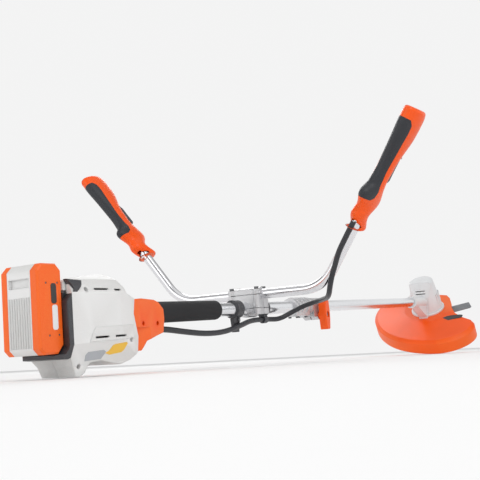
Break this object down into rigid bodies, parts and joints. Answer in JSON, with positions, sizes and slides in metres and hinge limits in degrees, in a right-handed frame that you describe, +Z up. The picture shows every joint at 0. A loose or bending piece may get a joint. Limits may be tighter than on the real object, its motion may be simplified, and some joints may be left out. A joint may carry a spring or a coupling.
{
  "type": "brush cutter",
  "caption": "Battery brush cutter with bicycle handlebar, split drive tube, rear battery housing, motor head, guard and toothed steel blade",
  "frame": {"origin": "middle of the base of the whole tool's box, on the ground it rests on", "axes": "+X forward from battery to cutting head, +Y to the operator's left, +Z up"},
  "size_m": [1.7626, 0.7782, 0.4333],
  "materials": {
    "white_plastic": "satin moulded ABS",
    "orange_plastic": "satin moulded ABS",
    "black_plastic": "fine texture moulded nylon",
    "rubber": "soft-touch overmould",
    "foam": "closed-cell foam",
    "aluminium": "polished and clear anodised tube",
    "cast_aluminium": "as-cast, tumbled",
    "steel": "zinc plated",
    "dark_steel": "black oxide",
    "copper": "enamelled winding and laminations",
    "board": "solder resist",
    "cell": "shrink sleeve"
  },
  "bodies": {
    "shaft_assembly": {"battery_cradle": "black_plastic", "cable_clip": "black_plastic", "casing_screws": "dark_steel", "clamp_base": "cast_aluminium", "clamp_block": "cast_aluminium", "clamp_bolts": "dark_steel", "clamp_cap": "cast_aluminium", "clamp_screws": "dark_steel", "collar_left": "orange_plastic", "collar_right": "orange_plastic", "control_conduit": "rubber", "controller_board": "board", "coupler_body": "cast_aluminium", "coupler_nut": "steel", "coupler_socket": "black_plastic", "foam_sleeve": "foam", "grip_left_inner": "orange_plastic", "grip_left_outer": "orange_plastic", "grip_left_pad": "rubber", "grip_right_inner": "orange_plastic", "grip_right_outer": "orange_plastic", "grip_right_pad": "rubber", "handlebar_tube": "aluminium", "harness_clamp": "black_plastic", "heat_sink": "aluminium", "housing_left": "white_plastic", "housing_right": "white_plastic", "power_lead_rear": "rubber", "terminal_block": "black_plastic", "trigger_blank": "black_plastic", "trigger_pin": "steel", "trigger_switch": "black_plastic", "upper_tube": "aluminium"},
    "battery": {"battery_band": "white_plastic", "battery_cells": "cell", "battery_screws": "dark_steel", "battery_side_left": "orange_plastic", "battery_side_right": "orange_plastic"},
    "battery_latch": {"battery_latch": "white_plastic"},
    "cutting_head": {"lower_tube": "aluminium", "coupler_plug": "black_plastic", "power_lead_front": "rubber", "pod_right": "white_plastic", "pod_left": "white_plastic", "head_base": "cast_aluminium", "motor_can": "aluminium", "bearings": "steel", "stator": "copper", "guard": "orange_plastic", "guard_screws": "steel"},
    "blade_spindle": {"rotor": "steel", "spindle": "steel", "thrust_flange": "steel", "blade": "dark_steel", "rider_cup": "steel", "blade_nut": "steel"},
    "wing_knob": {"wing_knob": "orange_plastic", "wing_bolt": "steel"},
    "throttle_trigger": {"throttle_trigger": "black_plastic"},
    "lockout_button": {"lockout_button": "black_plastic"}
  },
  "joints": [
    {"name": "battery_slide", "type": "slide", "parent": "shaft_assembly", "child": "battery", "axis": [-0.0491, 0, 0.9988], "range_m": [0, 0.13]},
    {"name": "latch_press", "type": "slide", "parent": "shaft_assembly", "child": "battery_latch", "axis": [0.0491, 0, -0.9988], "range_m": [0, 0.0025], "stiffness_N_per_m": 600, "springref_m": -0.004},
    {"name": "head_slide", "type": "slide", "parent": "shaft_assembly", "child": "cutting_head", "axis": [0.9988, 0, 0.0491], "range_m": [0, 0.09]},
    {"name": "blade_spin", "type": "hinge", "parent": "cutting_head", "child": "blade_spindle", "pos_m": [0.77269, 0, 0.16246], "axis": [-0.5122, 0, 0.8588], "continuous": true},
    {"name": "wing_knob_turn", "type": "hinge", "parent": "shaft_assembly", "child": "wing_knob", "pos_m": [-0.02833, 0, 0.10257], "axis": [0, -1, 0], "continuous": true},
    {"name": "trigger_pull", "type": "hinge", "parent": "shaft_assembly", "child": "throttle_trigger", "pos_m": [-0.30889, -0.32578, 0.356], "axis": [-0.0291, 0.8052, 0.5923], "range_deg": [0, 9], "stiffness_Nm_per_rad": 0.6, "springref_deg": -20.05},
    {"name": "lockout_press", "type": "slide", "parent": "shaft_assembly", "child": "lockout_button", "axis": [0.0291, -0.8052, -0.5923], "range_m": [0, 0.003], "stiffness_N_per_m": 500, "springref_m": -0.004}
  ]
}
